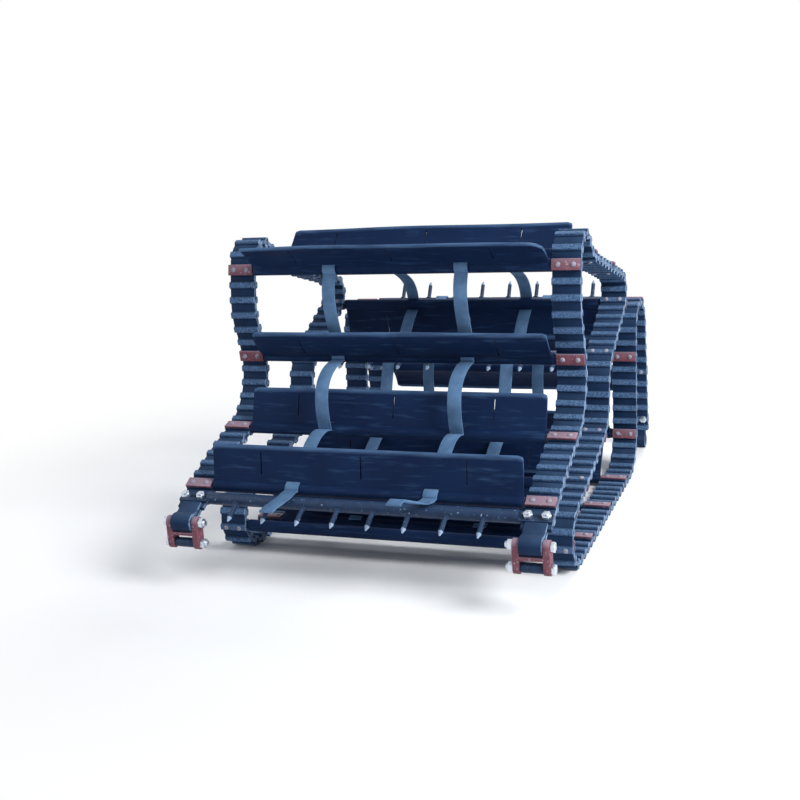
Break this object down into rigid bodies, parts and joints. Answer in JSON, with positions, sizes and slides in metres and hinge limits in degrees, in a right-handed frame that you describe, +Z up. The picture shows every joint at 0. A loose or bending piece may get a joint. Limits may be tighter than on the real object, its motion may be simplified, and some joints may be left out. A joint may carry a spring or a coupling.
{
  "type": "haulm web",
  "caption": "Folded harvester haulm web: two cogged rubber belts joined by clamped cross bars with rubber flaps and steel fingers, and red swinging links at the belt ends.",
  "frame": {"origin": "middle of the heap at floor level", "axes": "+Z up, X across the web along the bars, the coupled end faces -Y"},
  "size_m": [0.8286, 1.2092, 0.6841],
  "materials": {
    "belt_rubber": "matt moulded rubber, dusty on the edges",
    "flap_rubber": "smooth rubber sheet",
    "strap_rubber": "woven rubber strap",
    "bar_steel": "dark rolled steel",
    "red_paint": "red oxide paint",
    "zinc": "bright zinc plate"
  },
  "bodies": {
    "web": {"left_belt": "belt_rubber", "right_belt": "belt_rubber", "flap_01": "flap_rubber", "flap_02": "flap_rubber", "flap_03": "flap_rubber", "flap_04": "flap_rubber", "flap_05": "flap_rubber", "flap_06": "flap_rubber", "flap_07": "flap_rubber", "flap_09": "flap_rubber", "flap_10": "flap_rubber", "flap_11": "flap_rubber", "flap_12": "flap_rubber", "flap_13": "flap_rubber", "flap_14": "flap_rubber", "flap_15": "flap_rubber", "flap_16": "flap_rubber", "flap_18": "flap_rubber", "left_strap": "strap_rubber", "right_strap": "strap_rubber", "bar_01": "bar_steel", "bar_02": "bar_steel", "bar_03": "bar_steel", "bar_04": "bar_steel", "bar_05": "bar_steel", "bar_06": "bar_steel", "bar_07": "bar_steel", "bar_08": "bar_steel", "bar_09": "bar_steel", "bar_10": "bar_steel", "bar_11": "bar_steel", "bar_12": "bar_steel", "bar_13": "bar_steel", "bar_14": "bar_steel", "bar_15": "bar_steel", "bar_16": "bar_steel", "bar_17": "bar_steel", "bar_18": "bar_steel", "fingers": "bar_steel", "end_bar": "bar_steel", "left_eye_bush": "bar_steel", "right_eye_bush": "bar_steel", "left_tail_bush": "bar_steel", "right_tail_bush": "bar_steel", "left_clamp_plates": "red_paint", "right_clamp_plates": "red_paint", "tail_plates": "red_paint", "upper_bolts": "zinc", "upper_nuts": "zinc", "clamp_bolts": "zinc", "clamp_nuts": "zinc"},
    "left_link": {"left_link": "red_paint", "left_lower_bolt": "zinc", "left_lower_nut": "zinc", "left_spacer": "bar_steel"},
    "right_link": {"right_link": "red_paint", "right_lower_bolt": "zinc", "right_lower_nut": "zinc", "right_spacer": "bar_steel"}
  },
  "joints": [
    {"name": "left_link_swing", "type": "hinge", "parent": "web", "child": "left_link", "pos_m": [-0.37, -0.58527, 0.146], "axis": [1, 0, 0], "range_deg": [-120, 60]},
    {"name": "right_link_swing", "type": "hinge", "parent": "web", "child": "right_link", "pos_m": [0.37, -0.58527, 0.146], "axis": [1, 0, 0], "range_deg": [-120, 60]}
  ]
}
